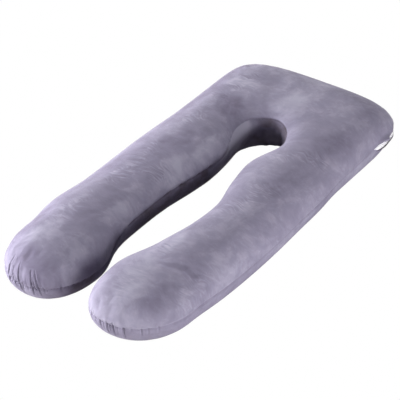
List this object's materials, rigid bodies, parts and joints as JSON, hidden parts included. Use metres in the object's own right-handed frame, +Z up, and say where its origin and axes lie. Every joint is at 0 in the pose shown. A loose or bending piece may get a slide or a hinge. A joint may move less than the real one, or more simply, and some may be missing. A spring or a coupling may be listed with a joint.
{
  "type": "u-shaped body pillow",
  "caption": "U-shaped filled body pillow in soft velvet, lying flat: two long arms with round ends below a wide head, and a rounded opening for the neck.",
  "frame": {"origin": "under the middle of the pillow, on the surface that it lies on", "axes": "+Z up, +Y along the arms towards the head end, +X to the side that has the gaping zip"},
  "size_m": [0.7862, 1.6478, 0.1861],
  "materials": {
    "velvet": "soft short-pile velvet, lilac grey",
    "zip_tape": "plain woven tape, white",
    "zip_guard": "bound cloth edge, dark lilac grey"
  },
  "bodies": {
    "root": {"pillow": "velvet", "zip_tape": "zip_tape", "zip_guard": "zip_guard"}
  },
  "joints": []
}
